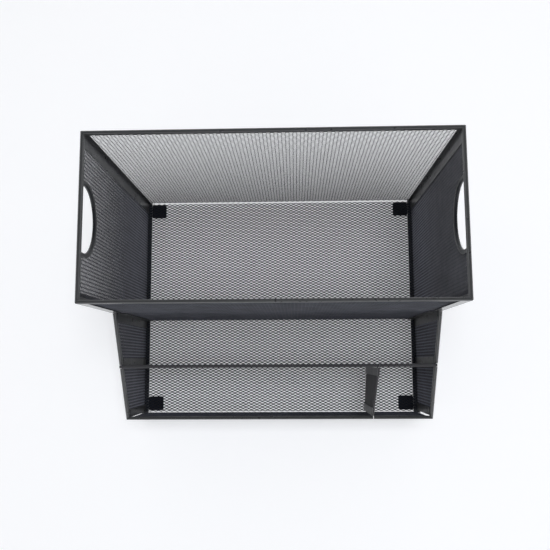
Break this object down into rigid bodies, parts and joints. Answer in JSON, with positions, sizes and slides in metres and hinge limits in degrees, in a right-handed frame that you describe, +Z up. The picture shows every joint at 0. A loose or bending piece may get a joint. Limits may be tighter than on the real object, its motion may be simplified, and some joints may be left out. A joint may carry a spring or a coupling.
{
  "type": "desk file organizer",
  "caption": "Black steel-mesh desk organizer: a tall hanging-file box with handle cut-outs and, in front of it, lower supply rows with sloped sides and a sliding divider.",
  "frame": {"origin": "middle of the footprint, on the surface that the feet stand on", "axes": "+X to the right along the width, +Y towards the file box at the back, +Z up"},
  "size_m": [0.3212, 0.2532, 0.256],
  "materials": {
    "mesh_steel": "expanded steel mesh with a black satin powder coat",
    "trim_steel": "folded steel strip with a black satin powder coat",
    "divider_steel": "sheet steel with a black satin powder coat",
    "foot_rubber": "matt black rubber pad"
  },
  "bodies": {
    "organizer": {"floor_panel": "mesh_steel", "back_panel": "mesh_steel", "file_wall_panel": "mesh_steel", "front_panel": "mesh_steel", "partition_panel": "mesh_steel", "left_side_panel": "mesh_steel", "right_side_panel": "mesh_steel", "back_rim": "trim_steel", "file_wall_rim": "trim_steel", "left_file_rail": "trim_steel", "right_file_rail": "trim_steel", "left_rear_slope_rim": "trim_steel", "right_rear_slope_rim": "trim_steel", "left_front_slope_rim": "trim_steel", "right_front_slope_rim": "trim_steel", "front_rim": "trim_steel", "partition_rim": "trim_steel", "left_handle_trim": "trim_steel", "right_handle_trim": "trim_steel", "left_post": "trim_steel", "right_post": "trim_steel", "back_left_angle": "trim_steel", "back_right_angle": "trim_steel", "wall_left_angle": "trim_steel", "wall_right_angle": "trim_steel", "left_shoulder_angle": "trim_steel", "right_shoulder_angle": "trim_steel", "left_front_strip": "trim_steel", "right_front_strip": "trim_steel", "left_partition_bracket": "trim_steel", "right_partition_bracket": "trim_steel", "left_bottom_angle": "trim_steel", "right_bottom_angle": "trim_steel", "back_left_foot": "foot_rubber", "back_right_foot": "foot_rubber", "front_left_foot": "foot_rubber", "front_right_foot": "foot_rubber"},
    "divider": {"divider_plate": "divider_steel", "divider_front_clip": "divider_steel", "divider_back_clip": "divider_steel"}
  },
  "joints": [
    {"name": "divider_slide", "type": "slide", "parent": "organizer", "child": "divider", "axis": [1, 0, 0], "range_m": [-0.245, 0.045]}
  ]
}
